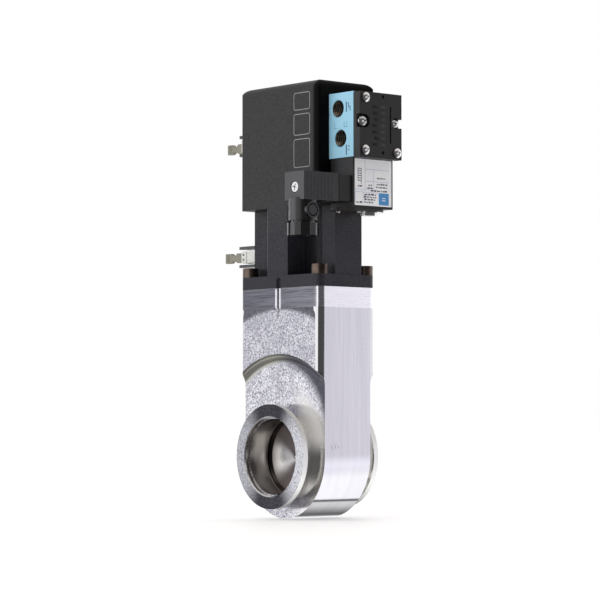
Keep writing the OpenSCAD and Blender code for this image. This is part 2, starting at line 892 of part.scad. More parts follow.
// A wire swept along a helix as one closed polyhedron
module coil_spring(r, wire_r, height, turns) {
    sides = 8;
    steps = turns * 16;
    pitch = (height - 2 * wire_r) / turns;
    points = [
        for (i = [0:steps]) let (p = helix_point(r, pitch, i / 16), a = 360 * i / 16)
            for (k = [0:sides - 1]) let (b = 360 * k / sides)
                p + wire_r * [cos(b) * cos(a), cos(b) * sin(a), sin(b)] + [0, 0, wire_r]
    ];
    walls = [
        for (i = [0:steps - 1], k = [0:sides - 1]) let (n = (k + 1) % sides)
            [i * sides + k, (i + 1) * sides + k, (i + 1) * sides + n, i * sides + n]
    ];
    first = [for (k = [0:sides - 1]) k];
    last = [for (k = [sides - 1:-1:0]) steps * sides + k];
    polyhedron(points, concat(walls, [first], [last]));
}

module armature_spring() {
    color("lightgray") placed() on_coil_axis() translate([0, 0, core_top])
        coil_spring(1.45, 0.25, spring_room_top - core_top, 6);
}

// The bracket's round nose and the small stud that keys it to the coil
bracket_half_w = 8;
bracket_nose_y = -9.6;
bracket_stud_r = 0.7;
bracket_stud_at = [axis_x - 5, -10.2];

module coil_bracket() {
    color("#3a3738") placed() difference() {
        union() {
            block([axis_x - bracket_half_w, axis_x + bracket_half_w], [bracket_nose_y, axis_y], bracket_z);
            for (y = [bracket_nose_y, axis_y])
                translate([axis_x, y, 0]) disc_z(bracket_half_w, bracket_z[0], bracket_z[1]);
        }
        on_coil_axis() disc_z(tube_r[1] + run_gap, bracket_z[0] - past, bracket_z[1] + past);
        translate(bracket_stud_at) disc_z(bracket_stud_r + fit_gap, bracket_z[0] - past, bracket_z[1] + past);
    }
}

module bracket_stud() {
    head_h = 0.9;
    color("white") placed() translate([bracket_stud_at[0], bracket_stud_at[1], bracket_z[0]]) {
        rotate_extrude() intersection() {
            translate([0, 0.5]) circle(1.4);
            translate([0, -head_h]) square([1.2, head_h]);
        }
        disc_z(bracket_stud_r, -eps, bracket_t);
    }
}

module wave_washer() {
    color("whitesmoke") placed() on_coil_axis() ring_z(7.4, stud_r + 0.3, nut_z[1], bracket_z[0]);
}

module coil_nut() {
    color("#2b2829") placed() on_coil_axis() difference() {
        translate([0, 0, nut_z[0]]) cylinder(r = 5.2, h = nut_z[1] - nut_z[0], $fn = 6);
        disc_z(stud_r + fit_gap, nut_z[0] - past, nut_z[1] + past);
    }
}

module coil_label() {
    color("whitesmoke") placed()
        block([coil_x[1], coil_x[1] + 0.15], [coil_y[0] + 1.2, coil_y[1] - 1],
              [coil_bottom + 1.2, coil_top - 0.8]);
}

// ---- cable connector -----------------------------------------------------------------------

plug_seal_t = 0.8;
plug_y = [-44.7, plug_base_y - plug_seal_t];
plug_mid = [(plug_x[0] + plug_x[1]) / 2, 0, (plug_z[0] + plug_z[1]) / 2];
plug_screw_rise = -0.6;
neck_y = -38.9;
neck_r = 7.4;
neck_z = 120.8;
cable_r = 3;

// The long screw that holds the connector, grown by a clearance
module plug_fastener(gap) {
    translate([plug_mid[0], 0, plug_mid[2] + plug_screw_rise])
        disc_y(1.25 + gap, plug_y[0] + 2, plug_base_y + 6);
}

module plug_blades(gap) {
    for (x = [-4, 0, 4])
        block([plug_mid[0] + x - 1.2 - gap, plug_mid[0] + x + 1.2 + gap],
              [plug_y[1] - 7, plug_base_y + 4 + gap],
              [plug_mid[2] - 5.4 - gap, plug_mid[2] - 4.6 + gap]);
}

module plug_gasket() {
    inset = 0.9;
    color("dimgray") placed() difference() {
        block([plug_x[0] + inset, plug_x[1] - inset], [plug_y[1], plug_base_y],
              [plug_z[0] + inset, plug_z[1] - inset]);
        plug_fastener(fit_gap);
        plug_blades(fit_gap);
    }
}

module plug_housing() {
    screw_place = [plug_mid[0], 0, plug_mid[2] + plug_screw_rise];
    knockout_r = 4.2;
    knockout_z = 126;
    color("#262425") placed() difference() {
        union() {
            block(plug_x, plug_y, plug_z);
            translate([plug_mid[0], neck_y, 0]) disc_z(neck_r, neck_z, plug_z[0] + past);
            translate([plug_mid[0], neck_y, knockout_z]) disc_x(knockout_r, 0, neck_r + 0.2);
            translate([plug_mid[0], neck_y, 0]) disc_z(neck_r - 1.4, neck_z - 4, neck_z + past);
        }
        block([plug_x[0] + 1.6, plug_x[1] - 1.6], [plug_y[0] + 5, plug_y[1] + past],
              [plug_z[0] + 1.6, plug_mid[2] - 2.4]);
        translate([plug_mid[0], neck_y, 0]) disc_z(cable_r + 0.8, neck_z - 5, plug_z[0] + 3);
        translate(screw_place) disc_y(2.9, plug_y[0] - past, plug_y[0] + 2);
        plug_fastener(fit_gap);
    }
}

module plug_contacts() {
    color("silver") placed() plug_blades(0);
}

module plug_screw() {
    color("white") placed() translate([plug_mid[0], 0, plug_mid[2] + plug_screw_rise]) {
        difference() {
            disc_y(2.6, plug_y[0] + 0.3, plug_y[0] + 2);
            for (turn = [0, 90])
                rotate([0, turn + 15, 0])
                    block([-1.7, 1.7], [plug_y[0] - past, plug_y[0] + 1.3], [-0.3, 0.3]);
        }
        disc_y(1.25, plug_y[0] + 2, plug_base_y + 5.5);
    }
}

gland_nut_z = [113.2, 119.6];

module gland_seal() {
    color("black") placed() translate([plug_mid[0], neck_y, 0])
        ring_z(neck_r - 1.5, cable_r + 0.1, gland_nut_z[0] + 1.2, neck_z - 4);
}

module gland_nut() {
    flats = 6;
    color("#343233") placed() translate([plug_mid[0], neck_y, 0]) difference() {
        union() {
            translate([0, 0, gland_nut_z[0]]) cylinder(r = neck_r, h = gland_nut_z[1] - gland_nut_z[0]);
            for (i = [0:flats - 1])
                rotate([0, 0, i * 360 / flats])
                    block([neck_r - 0.5, neck_r + 0.5], [-1.6, 1.6], gland_nut_z);
        }
        disc_z(neck_r - 1.35, gland_nut_z[0] + 1.2, gland_nut_z[1] + past);
        disc_z(cable_r + 0.3, gland_nut_z[0] - past, gland_nut_z[1]);
    }
}

// ---- position switches ---------------------------------------------------------------------

plug_out = 12.4;
tab_out = [28.4, 26.7];
tab_drop = [0, 0.8];
tab_half = 2.65;

module at_switches() {
    for (z = switch_z) translate([-side_x, 0, z]) children();
}

module reed_switches() {
    color("darkgreen") placed() for (z = switch_z)
        block([-side_x + header_plate_t + fit_gap, switch_inner_x], switch_y,
              [z - switch_h / 2, z + switch_h / 2]);
}

module switch_headers() {
    color("#201e1f") placed() at_switches() {
        block([0, header_plate_t], header_plate_y, [-header_half, header_half]);
        for (s = [-1, 1])
            block([-header_out, 0], header_y, [s * bar_gap / 2 - bar_t / 2, s * bar_gap / 2 + bar_t / 2]);
    }
}

module switch_plugs() {
    color("ivory") placed() at_switches()
        block([-plug_out, 0], [header_y[0] + 1, header_y[1] - 1], [-3.2, 3.2]);
}

module pull_tabs() {
    neck_half = 1.3;
    notch_r = 3.3;
    color("#a59f8b") placed() for (i = [0, 1])
        translate([-side_x, 0, switch_z[i] - tab_drop[i]]) along_y(-7.2, -4.8) difference() {
            translate([-tab_out[i], -tab_half]) square([tab_out[i] - plug_out, 2 * tab_half]);
            for (s = [-1, 1])
                translate([-0.45 * plug_out - 0.55 * tab_out[i], s * (neck_half + notch_r)]) circle(notch_r);
        }
}

// ---- assembly ------------------------------------------------------------------------------

valve_body();
bonnet_plate();
bonnet_seal();
shaft_bush();
shaft_seals();
seal_retainer();
cap_screws();
actuator_housing();
rod_bush();
rod_seal();
cylinder_cap();
cap_seal();
cap_ring();
stem();
stem_pin();
gate_carriage();
lock_balls();
piston();
piston_guide();
piston_seal();
piston_magnet();
piston_nut();
gate_disc();
gate_seal();
tie_bolt();
tie_nut();
tie_spring();
counter_plate();
pilot_gasket();
pilot_body();
cover_gasket();
pilot_cover();
cover_screws();
mounting_screws();
pilot_spool();
coil_housing();
coil_winding();
core_tube();
fixed_core();
armature();
armature_spring();
coil_bracket();
bracket_stud();
wave_washer();
coil_nut();
coil_label();
plug_gasket();
plug_housing();
plug_contacts();
plug_screw();
gland_seal();
gland_nut();
switch_headers();
switch_plugs();
pull_tabs();
reed_switches();
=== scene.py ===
"""Looks for a small vacuum gate valve: materials, fine detail, studio and camera."""
import json
import math
import random

import bmesh
import bpy
from mathutils import Matrix, Vector


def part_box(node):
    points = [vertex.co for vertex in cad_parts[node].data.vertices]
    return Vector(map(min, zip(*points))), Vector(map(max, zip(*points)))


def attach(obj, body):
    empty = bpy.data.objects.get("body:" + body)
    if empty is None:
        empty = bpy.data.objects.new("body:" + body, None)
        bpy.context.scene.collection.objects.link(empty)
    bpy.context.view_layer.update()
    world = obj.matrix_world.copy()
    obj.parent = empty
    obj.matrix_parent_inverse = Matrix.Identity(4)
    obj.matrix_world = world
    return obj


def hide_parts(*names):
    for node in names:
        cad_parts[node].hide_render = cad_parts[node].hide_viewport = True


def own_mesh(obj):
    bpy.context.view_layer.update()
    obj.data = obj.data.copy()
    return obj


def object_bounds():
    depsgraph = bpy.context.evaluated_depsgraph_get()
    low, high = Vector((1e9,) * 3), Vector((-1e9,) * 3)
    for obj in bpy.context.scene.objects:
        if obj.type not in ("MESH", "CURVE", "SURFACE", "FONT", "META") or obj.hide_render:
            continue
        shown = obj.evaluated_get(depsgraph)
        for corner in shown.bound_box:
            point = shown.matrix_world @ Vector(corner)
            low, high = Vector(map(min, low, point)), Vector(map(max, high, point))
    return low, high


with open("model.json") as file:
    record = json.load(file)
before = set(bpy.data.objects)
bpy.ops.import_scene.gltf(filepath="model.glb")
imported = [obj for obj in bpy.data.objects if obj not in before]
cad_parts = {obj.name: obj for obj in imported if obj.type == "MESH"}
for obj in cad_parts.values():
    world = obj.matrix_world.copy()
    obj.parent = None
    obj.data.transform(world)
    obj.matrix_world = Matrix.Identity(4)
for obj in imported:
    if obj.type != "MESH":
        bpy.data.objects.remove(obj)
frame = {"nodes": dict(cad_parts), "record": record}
CAD_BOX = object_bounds()

MM = 0.001
MID_Y = sum(v.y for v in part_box("valve_body")) / 2
ROOT = "valve_housing"

# ---- node graphs ---------------------------------------------------------------------------


class Nodes:
    """A node tree, with short calls for the usual nodes."""

    def __init__(self, tree):
        self.tree = tree

    def node(self, kind, **props):
        n = self.tree.nodes.new(kind)
        for key, value in props.items():
            setattr(n, key, value)
        return n

    def feed(self, socket, value):
        """Links an output to a socket, or sets the socket's own value."""
        if isinstance(value, bpy.types.NodeSocket):
            self.tree.links.new(value, socket)
        else:
            socket.default_value = value

    def split(self, vector):
        n = self.node("ShaderNodeSeparateXYZ")
        self.feed(n.inputs[0], vector)
        return n.outputs["X"], n.outputs["Y"], n.outputs["Z"]

    def join(self, x, y, z):
        n = self.node("ShaderNodeCombineXYZ")
        for socket, value in zip(n.inputs, (x, y, z)):
            self.feed(socket, value)
        return n.outputs[0]

    def math(self, op, a, b=0.0):
        n = self.node("ShaderNodeMath", operation=op)
        self.feed(n.inputs[0], a)
        self.feed(n.inputs[1], b)
        return n.outputs[0]

    def times(self, first, *rest):
        for value in rest:
            first = self.math("MULTIPLY", first, value)
        return first

    def flip(self, value):
        return self.math("SUBTRACT", 1.0, value)

    def ramp(self, value, low, high, out_low=0.0, out_high=1.0, smooth=True):
        """Maps low..high to out_low..out_high, held at both ends."""
        kind = "SMOOTHSTEP" if smooth else "LINEAR"
        n = self.node("ShaderNodeMapRange", interpolation_type=kind)
        self.feed(n.inputs["Value"], value)
        for i, v in zip((1, 2, 3, 4), (low, high, out_low, out_high)):
            n.inputs[i].default_value = v
        return n.outputs["Result"]

    def mix(self, factor, a, b):
        """Mixes two colours."""
        n = self.node("ShaderNodeMix", data_type="RGBA")
        self.feed(n.inputs[0], factor)
        for socket, value in ((n.inputs[6], a), (n.inputs[7], b)):
            linked = isinstance(value, bpy.types.NodeSocket)
            self.feed(socket, value if linked else (*value, 1))
        return n.outputs[2]

    def blend(self, factor, a, b):
        """Mixes two plain values."""
        n = self.node("ShaderNodeMix", data_type="FLOAT")
        self.feed(n.inputs[0], factor)
        self.feed(n.inputs[2], a)
        self.feed(n.inputs[3], b)
        return n.outputs[0]


class Graph(Nodes):
    """A material's node tree, with one principled shader and the textures."""

    def __init__(self, name, color=(0.8, 0.8, 0.8), rough=0.5, metal=0.0, **sockets):
        self.mat = bpy.data.materials.new(name)
        self.mat.use_nodes = True
        super().__init__(self.mat.node_tree)
        self.shader = self.tree.nodes["Principled BSDF"]
        self.coords = self.node("ShaderNodeTexCoord").outputs
        self.height = None
        self.set("Base Color", (*color, 1))
        self.set("Roughness", rough)
        self.set("Metallic", metal)
        for key, value in sockets.items():
            self.set(key.replace("_", " "), value)

    def set(self, socket, value):
        self.shader.inputs[socket].default_value = value

    def plug(self, socket, output):
        self.tree.links.new(output, self.shader.inputs[socket])

    def place(self):
        return self.coords["Object"]

    def normal(self):
        return self.coords["Normal"]

    def scaled(self, scale):
        """The place, stretched: a large scale along an axis makes fine detail along it."""
        m = self.node("ShaderNodeMapping")
        self.feed(m.inputs["Vector"], self.place())
        m.inputs["Scale"].default_value = scale
        return m.outputs["Vector"]

    def noise(self, scale, detail, rough, vector=None, distort=0.0):
        n = self.node("ShaderNodeTexNoise")
        self.feed(n.inputs["Vector"], vector or self.place())
        n.inputs["Scale"].default_value = scale
        n.inputs["Detail"].default_value = detail
        n.inputs["Roughness"].default_value = rough
        n.inputs["Distortion"].default_value = distort
        return n.outputs["Fac"]

    def cells(self, scale):
        n = self.node("ShaderNodeTexVoronoi", feature="F1")
        self.feed(n.inputs["Vector"], self.place())
        n.inputs["Scale"].default_value = scale
        return n.outputs["Distance"]

    def bump(self, height, distance, strength):
        """Adds a height to the shading, on top of the bumps before it."""
        n = self.node("ShaderNodeBump")
        self.feed(n.inputs["Height"], height)
        n.inputs["Distance"].default_value = distance
        n.inputs["Strength"].default_value = strength
        if self.height is not None:
            self.tree.links.new(self.height, n.inputs["Normal"])
        self.height = n.outputs["Normal"]
        self.plug("Normal", self.height)


def length_of(g, a, b):
    return g.math("SQRT", g.math("ADD", g.times(a, a), g.times(b, b)))


def radius_y(g):
    """Distance from the flow axis."""
    x, _, z = g.split(g.place())
    return length_of(g, x, z)


def flow_normal(g):
    """How squarely a surface faces along the flow, 0 to 1."""
    _, y, _ = g.split(g.normal())
    return g.math("ABSOLUTE", y)


# ---- materials -----------------------------------------------------------------------------


def turned_tangent(g, amount):
    """Stretches highlights along the turning marks round the flow axis."""
    t = g.node("ShaderNodeTangent", direction_type="RADIAL", axis="Y")
    g.plug("Tangent", t.outputs[0])
    g.feed(g.shader.inputs["Anisotropic"], amount)


def body_aluminium():
    """Frosted recesses, turned flange and neck, milled sides; each finish found from its place."""
    g = Graph("body_aluminium", rough=0.3, metal=1.0)
    # borders between finishes: metres from the middle plane
    facing_plane, flange_plane = (0.0185, 0.0190), (0.0256, 0.0259)
    # metres from the flow axis
    neck_wall, flange_wall = (0.0209, 0.0212), (0.0277, 0.0280)
    arch_start, arch_end = (0.0485, 0.0505), (0.0538, 0.0541)
    polish_end, facing_top = (0.030, 0.041), (0.0752, 0.0792)
    # metres from x = 0, and the centre and reach of the shade at the recess's right edge
    corner_side = (0.0283, 0.0285)
    shade_z, shade_reach = 0.0162, (0.0280, 0.0342)

    x, y, z = g.split(g.place())
    nx, ny, _ = g.split(g.normal())
    nx, ny = g.math("ABSOLUTE", nx), g.math("ABSOLUTE", ny)
    r = radius_y(g)
    out = g.math("ABSOLUTE", g.math("SUBTRACT", y, MID_Y))
    side_x = g.math("ABSOLUTE", x)

    # masks, 0 to 1: polished is the finer frost right of the flange, satin is less metallic
    across = g.ramp(ny, 0.6, 0.8)
    rim_face = g.times(across, g.ramp(out, *flange_plane))
    turned = g.times(g.flip(g.ramp(r, *flange_wall)), g.flip(across))
    neck = g.ramp(r, *neck_wall)
    corner = g.times(g.ramp(nx, 0.03, 0.08), g.ramp(ny, 0.03, 0.08), g.ramp(side_x, *corner_side))
    frosted = g.times(across, g.flip(g.math("MAXIMUM", rim_face, corner)))
    arch_wall = g.times(g.ramp(r, *arch_start), g.flip(g.ramp(r, *arch_end)),
                        g.flip(g.ramp(nx, 0.88, 0.95)))
    polished = g.times(g.ramp(r, *polish_end, 1.0, 0.0), g.ramp(x, 0.002, 0.018))
    facing = g.ramp(out, *facing_plane)
    from_shade = length_of(g, x, g.math("SUBTRACT", z, shade_z))
    shade = g.times(g.ramp(from_shade, *shade_reach), g.ramp(x, -0.008, 0.016),
                    g.ramp(z, 0.004, 0.020), g.flip(facing))
    coarse = g.math("MAXIMUM", frosted, rim_face)
    satin = g.times(g.math("MAXIMUM", g.times(turned, neck), g.times(frosted, polished)),
                    g.ramp(z, 0.0, 0.012))

    # coarse crystals of the frosted faces, fine cutter marks on the sides, rings on turned walls
    grain = g.noise(1100, 3.0, 0.62, distort=0.6)
    patches = g.noise(95, 3.0, 0.6)
    speck = g.cells(1500)
    streaks = g.noise(1.0, 4.0, 0.6, vector=g.scaled((260, 1500, 26)))
    wide = g.noise(1.0, 2.0, 0.5, vector=g.scaled((60, 160, 9)))
    rings = g.noise(1.0, 3.0, 0.6, vector=g.join(g.times(r, 3200.0), g.times(y, 2600.0), 0.0))
    smudge = g.noise(42, 3.0, 0.6)

    side = g.mix(g.ramp(wide, 0.3, 0.7), (0.74, 0.73, 0.78), (0.79, 0.78, 0.83))
    side = g.mix(g.ramp(streaks, 0.35, 0.7, 0.0, 0.16), side, (0.90, 0.90, 0.93))

    frost = g.mix(g.ramp(grain, 0.36, 0.62), (0.25, 0.245, 0.295), (0.97, 0.965, 1.0))
    frost = g.mix(g.ramp(patches, 0.40, 0.68, 0.0, 0.42), frost, (0.36, 0.355, 0.41))
    # darker on the facings, with painted shade at the recess's right edge and just under the bonnet
    frost = g.mix(g.times(facing, 0.22), frost, (0.24, 0.24, 0.29))
    frost = g.mix(g.times(shade, 0.94), frost, (0.06, 0.06, 0.078))
    frost = g.mix(g.ramp(g.ramp(r, *facing_top), 0.0, 1.0, 0.0, 0.85), frost, (0.07, 0.07, 0.085))
    frost = g.mix(g.times(polished, 0.9), frost, (0.95, 0.94, 0.92))

    # the rim: painted highlight and shade, dark above and below, light at the sides and lighter to
    # the right, with crystals and pits
    sideways = g.math("DIVIDE", side_x, g.math("MAXIMUM", r, 0.001))
    lit = g.mix(g.ramp(x, -0.012, 0.016), (0.62, 0.62, 0.66), (0.84, 0.84, 0.88))
    rim = g.mix(g.ramp(sideways, 0.34, 0.95), (0.018, 0.018, 0.025), lit)
    crystals = g.times(g.ramp(grain, 0.42, 0.62), g.ramp(sideways, 0.3, 0.95, 0.12, 0.6))
    rim = g.mix(crystals, rim, (0.66, 0.66, 0.70))
    pits = g.times(g.ramp(grain, 0.52, 0.40), g.ramp(sideways, 0.2, 0.9, 0.2, 0.7))
    rim = g.mix(pits, rim, (0.15, 0.15, 0.175))

    # painted shade: the bore inside the port is darker than the turned neck
    bore = g.mix(g.ramp(rings, 0.3, 0.7), (0.54, 0.52, 0.50), (0.80, 0.785, 0.77))
    turned_metal = g.mix(g.ramp(rings, 0.3, 0.7), (0.84, 0.835, 0.81), (0.97, 0.965, 0.95))
    turned_metal = g.mix(neck, bore, turned_metal)
    # painted shade: the recess's arch wall goes dark to the right
    arch = g.mix(g.ramp(x, -0.012, 0.010), (0.50, 0.51, 0.46), (0.11, 0.11, 0.13))

    color = g.mix(frosted, side, frost)
    color = g.mix(corner, color, (0.66, 0.65, 0.66))
    color = g.mix(rim_face, color, rim)
    color = g.mix(turned, color, turned_metal)
    color = g.mix(arch_wall, color, arch)
    g.plug("Base Color", color)

    # the rounded base, below the flow axis, is smoother than the milled sides
    rough = g.blend(g.ramp(z, -0.004, 0.002), 0.09, g.ramp(streaks, 0.3, 0.7, 0.24, 0.32))
    rough = g.blend(frosted, rough, g.blend(polished, g.ramp(speck, 0.1, 0.7, 0.16, 0.32), 0.11))
    rough = g.blend(corner, rough, 0.10)
    rough = g.blend(rim_face, rough, g.ramp(grain, 0.3, 0.7, 0.30, 0.42))
    rough = g.blend(turned, rough, g.blend(neck, g.ramp(smudge, 0.3, 0.7, 0.10, 0.20), 0.34))
    rough = g.blend(arch_wall, rough, 0.24)
    g.plug("Roughness", rough)
    g.plug("Metallic", g.blend(satin, 1.0, 0.35))

    grit = g.times(coarse, g.flip(g.times(polished, 0.93)))
    g.bump(g.times(grit, grain), 0.12 * MM, 0.5)
    g.bump(g.times(g.flip(coarse), g.blend(turned, streaks, rings)), 0.008 * MM, 0.4)
    turned_tangent(g, g.times(g.math("MAXIMUM", rim_face, turned), 0.6))
    return g.mat


def bonnet_aluminium():
    """Brushed in level lines, with painted light and shade: dark in front and lighter to the right,
    with bright sides.
    """
    g = Graph("bonnet_aluminium", rough=0.33, metal=1.0)
    x, _, _ = g.split(g.place())
    front = g.ramp(flow_normal(g), 0.8, 0.98)
    brush = g.noise(1.0, 4.0, 0.65, vector=g.scaled((60, 60, 2600)))
    grain = g.noise(1200, 3.0, 0.6)
    line = g.ramp(brush, 0.3, 0.7)
    # painted light and shade: the front is dark and lighter to the right, the sides bright
    left = g.mix(line, (0.085, 0.085, 0.104), (0.22, 0.22, 0.255))
    right = g.mix(line, (0.13, 0.13, 0.155), (0.29, 0.29, 0.325))
    light = g.mix(line, (0.82, 0.81, 0.85), (0.93, 0.92, 0.96))
    g.plug("Base Color", g.mix(front, light, g.mix(g.ramp(x, -0.02, 0.022), left, right)))
    g.plug("Roughness", g.blend(front, g.ramp(grain, 0.3, 0.7, 0.16, 0.24),
                                g.ramp(grain, 0.3, 0.7, 0.28, 0.42)))
    g.bump(brush, 0.02 * MM, 0.6)
    return g.mat


def anodised(name, base, low_tint, rough=0.46):
    """Black anodising: a fine blasted grain, slow changes of tone, bluer low down."""
    g = Graph(name, base, rough)
    x, _, z = g.split(g.place())
    grain = g.noise(2400, 3.0, 0.6)
    cloud = g.noise(36, 4.0, 0.6)
    specks = g.noise(1150, 3.0, 0.65)
    low = g.ramp(z, 0.118, 0.136, 1.0, 0.0)
    # the head's right edge, where the photograph shows a dark line
    # painted shade: this edge is painted near black, with its specular turned down
    edge = g.times(g.ramp(x, 0.0262, 0.0290), g.ramp(z, 0.140, 0.150))
    g.plug("Specular IOR Level", g.blend(edge, 0.28, 0.03))
    color = g.mix(g.ramp(cloud, 0.3, 0.7), base, tuple(1.35 * c for c in base))
    color = g.mix(low, color, low_tint)
    color = g.mix(g.ramp(specks, 0.42, 0.66, 0.0, 0.55), color, tuple(1.9 * c for c in base))
    color = g.mix(g.ramp(specks, 0.50, 0.32, 0.0, 0.5), color, tuple(0.35 * c for c in base))
    color = g.mix(edge, color, (0.003, 0.003, 0.003))
    g.plug("Base Color", color)
    g.plug("Roughness", g.ramp(cloud, 0.3, 0.7, rough - 0.05, rough + 0.06))
    g.bump(grain, 0.03 * MM, 0.4)
    return g.mat


def metal(name, base, rough, grain_scale=900, wear=0.12):
    """A plain metal with handling marks and a fine grain."""
    g = Graph(name, base, rough, 1.0)
    fine = g.noise(grain_scale, 4.0, 0.6)
    patch = g.noise(grain_scale / 12, 3.0, 0.6)
    dark = tuple(c * (1 - 2 * wear) for c in base)
    g.plug("Base Color", g.mix(g.ramp(patch, 0.3, 0.7), dark, base))
    g.plug("Roughness", g.ramp(fine, 0.25, 0.75, max(0.03, rough - 0.07), rough + 0.09))
    g.bump(fine, 0.01 * MM, 0.5)
    return g.mat


def polished_plate():
    """The gate's dish: fine turned rings, a painted bright bow across them with painted shade above
    and below it, and painted shade at the left.
    """
    g = Graph("polished_plate", rough=0.12, metal=1.0)
    r = radius_y(g)
    x, _, z = g.split(g.place())
    rings = g.noise(1.0, 3.0, 0.6, vector=g.join(g.times(r, 2600.0), 0.0, 0.0))
    smear = g.noise(70, 3.0, 0.6)
    shine = g.mix(g.ramp(rings, 0.3, 0.7), (0.86, 0.84, 0.83), (0.98, 0.97, 0.97))
    # painted highlight: a bright bow across the rings, with painted shade above and below it
    bow_rise = g.math("ABSOLUTE", g.math("ADD", z, 0.001))
    bow = g.math("DIVIDE", bow_rise, g.math("MAXIMUM", r, 0.002))
    shine = g.mix(g.ramp(bow, 0.12, 0.78), shine, (0.15, 0.13, 0.125))
    # painted shade: darker towards the dish's left
    g.plug("Base Color", g.mix(g.ramp(x, -0.0190, -0.0115), (0.20, 0.175, 0.17), shine))
    g.plug("Roughness", g.ramp(smear, 0.3, 0.7, 0.17, 0.22))
    g.bump(rings, 0.008 * MM, 0.5)
    turned_tangent(g, 0.8)
    return g.mat


def moulded(name, base, rough, grain_scale=2200, bump=0.02, mottle=0.12, front=None, **sockets):
    """Moulded plastic, rubber or paint: a spark-eroded grain (bump in mm) and a faint mottle.
    front is a lighter tone painted on the faces square to the flow, as painted light."""
    g = Graph(name, base, rough, **sockets)
    grain = g.noise(grain_scale, 2.0, 0.6)
    cloud = g.noise(grain_scale / 20, 4.0, 0.6)
    low = tuple(c * (1 - mottle) for c in base)
    high = tuple(min(1.0, c * (1 + mottle)) for c in base)
    color = g.mix(g.ramp(cloud, 0.3, 0.7), low, high)
    # painted light: the faces square to the flow take the lighter front tone
    if front:
        color = g.mix(g.ramp(flow_normal(g), 0.90, 0.99), color, front)
    g.plug("Base Color", color)
    g.plug("Roughness", g.ramp(cloud, 0.3, 0.7, rough - 0.06, rough + 0.06))
    g.bump(grain, bump * MM, 0.5)
    return g.mat


def coil_wire():
    """Copper wire, wound along the coil's height, with painted shade between the turns."""
    wire_pitch = 0.35 * MM
    g = Graph("copper_wire", (0.62, 0.33, 0.14), 0.3, 1.0)
    _, _, z = g.split(g.place())
    turns = g.math("SINE", g.times(z, 2 * math.pi / wire_pitch))
    g.plug("Base Color", g.mix(g.ramp(turns, -1, 1), (0.34, 0.15, 0.06), (0.72, 0.40, 0.18)))
    g.bump(turns, 0.1 * MM, 0.6)
    return g.mat


# The air ports' threads: pitch, start below the block's front face, and where in each turn
# the crest's flat starts and ends
THREAD_PITCH = 1.3 * MM
THREAD_START = 0.6 * MM
CREST = (0.42, 0.56)


def thread_metal():
    """A tapped brass thread: bright crests and roots painted dark as shade, counted from the
    block's front face.
    """
    g = Graph("thread", rough=0.26, metal=1.0)
    _, y, _ = g.split(g.place())
    crest_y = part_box("pilot_body")[0].y + THREAD_START + sum(CREST) / 2 * THREAD_PITCH
    along = g.math("SUBTRACT", y, crest_y)
    turns = g.math("COSINE", g.times(along, 2 * math.pi / THREAD_PITCH))
    worn = g.noise(1300, 3.0, 0.6)
    crest = g.mix(g.ramp(worn, 0.3, 0.7), (0.40, 0.31, 0.23), (0.66, 0.56, 0.45))
    g.plug("Base Color", g.mix(g.ramp(turns, -0.4, 0.9), (0.035, 0.024, 0.016), crest))
    g.plug("Roughness", g.ramp(worn, 0.3, 0.7, 0.2, 0.38))
    return g.mat


MATERIALS = {
    "body_aluminium": body_aluminium(),
    "bonnet_aluminium": bonnet_aluminium(),
    "black_anodised": anodised("black_anodised", (0.0260, 0.0245, 0.0262), (0.021, 0.0195, 0.029)),
    "dark_cap": anodised("dark_cap", (0.026, 0.023, 0.023), (0.026, 0.023, 0.025), 0.42),
    "screw_bronze": metal("screw_bronze", (0.175, 0.132, 0.110), 0.34, grain_scale=1400, wear=0.25),
    "stainless": metal("stainless", (0.72, 0.71, 0.70), 0.22),
    "polished_plate": polished_plate(),
    "bearing_bronze": metal("bearing_bronze", (0.62, 0.40, 0.22), 0.4),
    "seal_rubber": moulded("seal_rubber", (0.016, 0.016, 0.017), 0.62),
    "piston_aluminium": metal("piston_aluminium", (0.74, 0.75, 0.78), 0.26),
    "guide_plastic": moulded("guide_plastic", (0.72, 0.68, 0.58), 0.5),
    "magnet": moulded("magnet", (0.05, 0.05, 0.055), 0.45),
    "nut_brass": metal("nut_brass", (0.62, 0.47, 0.24), 0.3),
    "valve_block_blue": moulded("valve_block_blue", (0.37, 0.71, 0.91), 0.42, 2000, mottle=0.04),
    "gasket": moulded("gasket", (0.022, 0.022, 0.023), 0.7),
    # front: painted light on the faces square to the flow
    "black_plastic": moulded("black_plastic", (0.0125, 0.012, 0.0122), 0.40, 2600, 0.03,
                             front=(0.028, 0.029, 0.031), Specular_IOR_Level=0.32),
    "screw_silver": metal("screw_silver", (0.86, 0.85, 0.84), 0.2, grain_scale=1100, wear=0.06),
    "copper_wire": coil_wire(),
    "label": moulded("label", (0.85, 0.845, 0.86), 0.34, 1500, 0.006, mottle=0.04),
    "contact": metal("contact", (0.80, 0.76, 0.66), 0.25),
    # front: painted light on the faces square to the flow
    "connector_plastic": moulded("connector_plastic", (0.009, 0.0085, 0.0095), 0.28, 2400, 0.03,
                                 front=(0.070, 0.070, 0.077), Specular_IOR_Level=0.48),
    "white_plastic": moulded("white_plastic", (0.78, 0.79, 0.75), 0.4, 1800, 0.01, mottle=0.04),
    "tan_plastic": moulded("tan_plastic", (0.30, 0.29, 0.23), 0.46, 1500, mottle=0.14),
    "switch_green": moulded("switch_green", (0.03, 0.12, 0.06), 0.35),
}
PRINT = {
    "blue_line": moulded("blue_line", (0.22, 0.36, 0.60), 0.4),
    "blue_square": moulded("blue_square", (0.045, 0.26, 0.58), 0.35),
    "dark_print": moulded("dark_print", (0.07, 0.08, 0.11), 0.4),
    "deep_blue": moulded("deep_blue", (0.02, 0.07, 0.16), 0.4),
    "block_line": moulded("block_line", (0.12, 0.34, 0.46), 0.4),
    "engraving": moulded("engraving", (0.42, 0.41, 0.41), 0.45),
    "thread": thread_metal(),
}

